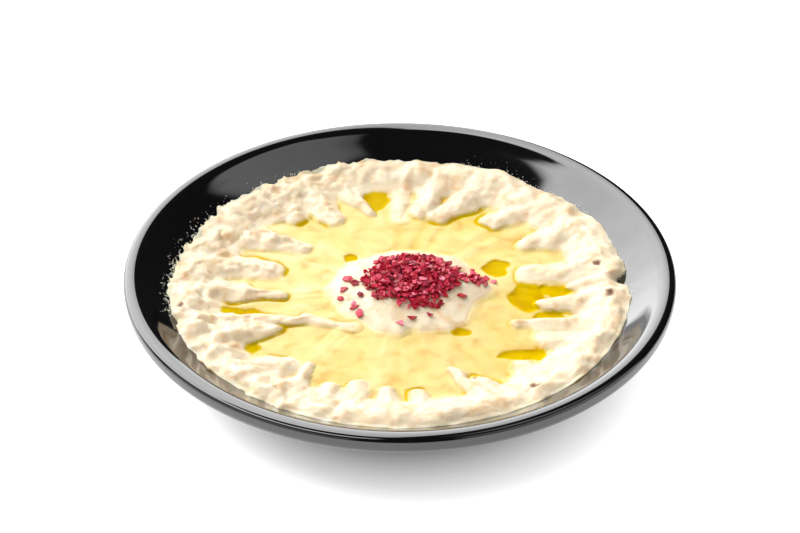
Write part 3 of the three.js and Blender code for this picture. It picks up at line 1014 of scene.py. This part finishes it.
class MEZZE_OT_sumac(bpy.types.Operator):
    """Heap the sumac flakes on the mound"""

    bl_idname = "mezze.sumac"
    bl_label = "Sumac"

    CHIP_KINDS = 24
    CHIP_THICKNESS = (0.07, 0.14)  # against the chip's length, as are its bend and its wrinkles
    CHIP_BEND = 0.9
    CHIP_WRINKLE = 0.04
    SIDE_SHARE = 16  # one flake of so many lies in the small heap on the right
    PILE_HEIGHT = 2.5
    LEAST_TILT = 15  # degrees
    TILT_RANGE = 60
    LOOSE_LIFT = 0.25
    LOOSE_TILT = 12

    def chips(self, rng):
        """Angular chips, one unit long, each cut and bent its own way."""
        meshes = []
        for _ in range(self.CHIP_KINDS):
            chip = bmesh.new()
            corners = rng.choice((3, 4, 4, 5, 6))
            bmesh.ops.create_circle(chip, cap_ends=True, segments=corners, radius=0.5)
            for vert in chip.verts:
                vert.co.x *= rng.uniform(0.7, 1.15)
                vert.co.y *= rng.uniform(0.3, 0.85)
            lifted = bmesh.ops.extrude_face_region(chip, geom=chip.faces)
            top = [v for v in lifted["geom"] if isinstance(v, bmesh.types.BMVert)]
            bmesh.ops.translate(chip, vec=(0, 0, rng.uniform(*self.CHIP_THICKNESS)), verts=top)
            bmesh.ops.poke(chip, faces=[f for f in chip.faces if len(f.verts) == corners and corners > 4])
            bend = rng.uniform(-self.CHIP_BEND, self.CHIP_BEND)
            for vert in chip.verts:
                wrinkle = rng.uniform(-self.CHIP_WRINKLE, self.CHIP_WRINKLE)
                vert.co.z += bend * vert.co.x * vert.co.x + wrinkle
            bmesh.ops.recalc_face_normals(chip, faces=chip.faces)
            mesh = bpy.data.meshes.new("chip")
            chip.to_mesh(mesh)
            chip.free()
            meshes.append(mesh)
        return meshes

    def lay(self, heap, tones, chip, place, size, tilt, rng):
        """Adds one chip at a place in millimetres, tipped by up to the given angle."""
        turn = Euler((rng.uniform(-tilt, tilt), rng.uniform(-tilt, tilt), rng.uniform(0, math.tau)))
        laid = chip.copy()
        laid.transform(Matrix.Translation(place) @ turn.to_matrix().to_4x4() @ Matrix.Scale(size, 4))
        heap.from_mesh(laid)
        tones.extend([rng.betavariate(2, 2.4)] * len(laid.vertices))
        bpy.data.meshes.remove(laid)

    def execute(self, context):
        settings = context.scene.mezze.sumac
        rng = random.Random(11)
        chips = self.chips(rng)
        heap = bmesh.new()
        tones = []
        shortest = settings.shortest / MM
        longest = settings.longest / MM
        for i in range(settings.flakes):
            out = math.sqrt(rng.random()) * rng.uniform(0.86, 1.04)
            turn = rng.uniform(0, math.tau)
            out *= 1 + 0.2 * float(lumps(2.5 * math.cos(turn) + 5, 2.5 * math.sin(turn) + 5))
            x = HEAP_CENTRE[0] + HEAP_RADII[0] * out * math.cos(turn)
            y = HEAP_CENTRE[1] + HEAP_RADII[1] * out * math.sin(turn)
            if i % self.SIDE_SHARE == 0:
                x, y = rng.gauss(*SIDE_HEAP[0]), rng.gauss(*SIDE_HEAP[1])
                out = 1
            pile = max(0, 1 - out * out) ** 0.7 * (1 + 0.5 * float(lumps(x / 5, y / 5)))
            layer = 0.3 + self.PILE_HEIGHT * pile * rng.random()
            place = Vector((x, y, float(dip_z(x, y)) + layer))
            size = shortest + (longest - shortest) * rng.betavariate(1.6, 2.6)
            tilt = math.radians(self.LEAST_TILT + self.TILT_RANGE * rng.random())
            self.lay(heap, tones, rng.choice(chips), place, size, tilt, rng)
        for degrees, distance in LOOSE_FLAKES:
            x, y = mound_place(degrees, distance)
            place = Vector((x, y, float(dip_z(x, y)) + self.LOOSE_LIFT))
            size = rng.uniform(0.5 * (shortest + longest), longest)
            self.lay(heap, tones, rng.choice(chips), place, size, math.radians(self.LOOSE_TILT), rng)
        bmesh.ops.scale(heap, vec=(MM, MM, MM), verts=heap.verts)
        piece = finish_piece("sumac_flakes", heap, sumac_skin(), "sumac_flakes")
        piece.data.polygons.foreach_set("use_smooth", [False] * len(piece.data.polygons))
        attribute = piece.data.attributes.new("tone", "FLOAT", "POINT")
        attribute.data.foreach_set("value", tones)
        return {"FINISHED"}


class MEZZE_OT_spatter(bpy.types.Operator):
    """Fleck the bowl's wall with drops of dip"""

    bl_idname = "mezze.spatter"
    bl_label = "Spatter"

    CLUSTERING = 2.2  # over 1, so that most drops lie near the dip
    FLATNESS = 0.45

    def execute(self, context):
        settings = context.scene.mezze.spatter
        rng = random.Random(5)
        spatter = bmesh.new()
        for first, last, count, furthest, largest in SPATTERED:
            for _ in range(round(count * settings.amount)):
                turn = math.radians(rng.uniform(first, last))
                off = furthest * rng.random() ** self.CLUSTERING
                r = float(edge_radius(np.float64(turn))) + 0.1 + off
                size = rng.uniform(0.3, 1) * largest * (1.25 - 0.6 * off / furthest)
                place = Vector((r * math.cos(turn), r * math.sin(turn), float(inner_wall_z(r))))
                lean = Matrix.Rotation(turn, 4, "Z") @ Matrix.Rotation(-WALL_SLOPE, 4, "Y")
                shape = Matrix.Diagonal((size * rng.uniform(0.8, 1.7), size, self.FLATNESS * size, 1))
                bmesh.ops.create_icosphere(
                    spatter,
                    subdivisions=2,
                    radius=1,
                    matrix=Matrix.Translation(place) @ lean @ shape,
                )
        bmesh.ops.scale(spatter, vec=(MM, MM, MM), verts=spatter.verts)
        cream = aubergine_cream()
        finish_piece("dip_spatter", spatter, cream, "aubergine_cream")
        return {"FINISHED"}


class MEZZE_OT_studio(bpy.types.Operator):
    """Set up the base, the lights and the camera"""

    bl_idname = "mezze.studio"
    bl_label = "Studio"

    CAMERA_ELEVATION = math.radians(34.9)
    CAMERA_ROLL = math.radians(0.3)
    CAMERA_DISTANCE = 0.7  # from the centre of the rim
    CAMERA_LENS = 86.7  # mm, on a 36 mm sensor
    AIM_BELOW_RIM = 0.0017  # the view's centre passes this far below the rim's centre

    # Softboxes as curved strips round the bowl. Each stop gives an azimuth from straight behind (negative
    # to the left), the elevations of the lower and upper edge there, and the brightness.
    SOFTBOXES = {
        "window_softbox": (
            (7, 1, 30, 6.5),
            (2, 1, 72, 6.5),
            (-4, 1, 80, 8),
            (-16, 1, 78, 9.5),
            (-40, 1, 66, 9.5),
            (-64, 2, 60, 9.5),
            (-78, 27, 57, 9.5),
            (-98, 40, 60.5, 10),
            (-124, 49, 66, 10),
            (-150, 53, 69, 9.5),
            (-172, 56, 69.5, 8),
        ),
        "right_wall": ((78, 1, 30, 2.4), (110, 1, 42, 1.8), (160, 1, 42, 1.0)),
        "right_ceiling": (
            (64, 42, 73, 2.3),
            (90, 52, 75, 2.2),
            (120, 60, 77, 2.0),
            (146, 66, 79, 1.0),
        ),
        "left_wall": ((-84, 1, 22, 1.5), (-125, 1, 40, 1.3), (-165, 1, 34, 0.8)),
    }
    SOFTBOX_DISTANCE = 2.4
    SOFTBOX_COLUMNS = 8  # between two stops
    SOFTBOX_ROWS = 16
    BASE_HALF_WIDTH = 2.5
    DARK_ROOM = 0.02  # what the glaze mirrors where there is no softbox
    SOFT_EDGE = 3  # degrees over which a softbox fades to its edge

    def softbox(self, context, name, stops, brightness):
        """A glowing curved strip that the camera can't see."""
        columns = self.SOFTBOX_COLUMNS * (len(stops) - 1)
        strip = bmesh.new()
        bmesh.ops.create_grid(strip, x_segments=columns, y_segments=self.SOFTBOX_ROWS, size=1)
        glow = []
        for vert in strip.verts:
            u = (vert.co.x + 1) / 2
            v = (vert.co.y + 1) / 2
            # The last column stays just inside the last pair of stops.
            at = min(u * (len(stops) - 1), len(stops) - 1.0001)
            before, after = stops[int(at)], stops[int(at) + 1]
            azimuth, low, high, level = (mix(p, q, at % 1) for p, q in zip(before, after))
            turn, rise = math.radians(azimuth), math.radians(mix(low, high, v))
            reach = self.SOFTBOX_DISTANCE * math.cos(rise)
            up = self.SOFTBOX_DISTANCE * math.sin(rise)
            vert.co = (reach * math.sin(turn), reach * math.cos(turn), up)
            across = abs(stops[-1][0] - stops[0][0]) * math.cos(rise)
            edge = min(u * across, (1 - u) * across, v * (high - low), (1 - v) * (high - low))
            glow.append(level * brightness * float(smooth(edge, -0.001, self.SOFT_EDGE)))
        mesh = bpy.data.meshes.new(name)
        strip.to_mesh(mesh)
        strip.free()
        mesh.materials.append(softbox_cloth())
        attribute = mesh.attributes.new("glow", "FLOAT", "POINT")
        attribute.data.foreach_set("value", glow)
        box = bpy.data.objects.new(name, mesh)
        box.visible_camera = False
        context.scene.collection.objects.link(box)

    def execute(self, context):
        settings = context.scene.mezze.studio
        sheet = bmesh.new()
        bmesh.ops.create_grid(sheet, x_segments=2, y_segments=2, size=self.BASE_HALF_WIDTH)
        mesh = bpy.data.meshes.new("acrylic_base")
        sheet.to_mesh(mesh)
        sheet.free()
        mesh.materials.append(backlit_acrylic(settings))
        base = bpy.data.objects.new("acrylic_base", mesh)
        context.scene.collection.objects.link(base)

        for name, stops in self.SOFTBOXES.items():
            self.softbox(context, name, stops, settings.cards)

        world = bpy.data.worlds.new("studio_walls")
        world.use_nodes = True
        tree = world.node_tree
        tree.nodes.clear()
        path = add_node(tree, "ShaderNodeLightPath")
        white = (1, 1, 1, 1)
        seen = add_node(tree, "ShaderNodeBackground", {"Color": white, "Strength": 1.0})
        around = add_node(tree, "ShaderNodeBackground", {"Color": white, "Strength": settings.fill})
        mirrored = add_node(tree, "ShaderNodeBackground", {"Color": white, "Strength": self.DARK_ROOM})
        unlit = add_node(tree, "ShaderNodeMixShader", {"Fac": path.outputs["Is Glossy Ray"]})
        tree.links.new(around.outputs["Background"], unlit.inputs[1])
        tree.links.new(mirrored.outputs["Background"], unlit.inputs[2])
        walls = add_node(tree, "ShaderNodeMixShader", {"Fac": path.outputs["Is Camera Ray"]})
        tree.links.new(unlit.outputs["Shader"], walls.inputs[1])
        tree.links.new(seen.outputs["Background"], walls.inputs[2])
        output = add_node(tree, "ShaderNodeOutputWorld")
        tree.links.new(walls.outputs["Shader"], output.inputs["Surface"])
        context.scene.world = world
        context.scene.view_settings.view_transform = "Standard"

        rise = self.CAMERA_ELEVATION
        back = Vector((0, -math.cos(rise), math.sin(rise)))
        up = Vector((0, math.sin(rise), math.cos(rise)))
        rim = Vector((0, 0, BOWL_HIGH.z))
        camera_data = bpy.data.cameras.new("camera")
        camera_data.lens = self.CAMERA_LENS
        camera = bpy.data.objects.new("camera", camera_data)
        camera.location = rim + back * self.CAMERA_DISTANCE
        aim = rim - up * self.AIM_BELOW_RIM
        level = (camera.location - aim).to_track_quat("Z", "Y").to_matrix()
        camera.rotation_euler = (level @ Matrix.Rotation(self.CAMERA_ROLL, 3, "Z")).to_euler()
        context.scene.collection.objects.link(camera)
        context.scene.camera = camera
        return {"FINISHED"}


class MEZZE_PT_table(bpy.types.Panel):
    bl_label = "Baba ganoush"
    bl_idname = "MEZZE_PT_table"
    bl_space_type = "VIEW_3D"
    bl_region_type = "UI"
    bl_category = "Baba ganoush"

    def draw(self, context):
        settings = context.scene.mezze
        for piece in OPERATORS:
            name = piece.bl_idname.split(".")[1]
            box = self.layout.box()
            box.operator(piece.bl_idname)
            group = getattr(settings, name)
            for prop in group.__annotations__:
                box.prop(group, prop)


OPERATORS = (MEZZE_OT_bowl, MEZZE_OT_dip, MEZZE_OT_oil, MEZZE_OT_sumac, MEZZE_OT_spatter, MEZZE_OT_studio)
CLASSES = (
    BowlSettings,
    DipSettings,
    OilSettings,
    SumacSettings,
    SpatterSettings,
    StudioSettings,
    TableSettings,
    *OPERATORS,
    MEZZE_PT_table,
)


def register():
    for cls in CLASSES:
        bpy.utils.register_class(cls)
    bpy.types.Scene.mezze = PointerProperty(type=TableSettings)


def unregister():
    del bpy.types.Scene.mezze
    for cls in reversed(CLASSES):
        bpy.utils.unregister_class(cls)


def main():
    register()
    bpy.ops.mezze.studio()
    bpy.ops.mezze.bowl()
    bpy.ops.mezze.dip()
    bpy.ops.mezze.oil()
    bpy.ops.mezze.sumac()
    bpy.ops.mezze.spatter()


if __name__ == "__main__":
    main()
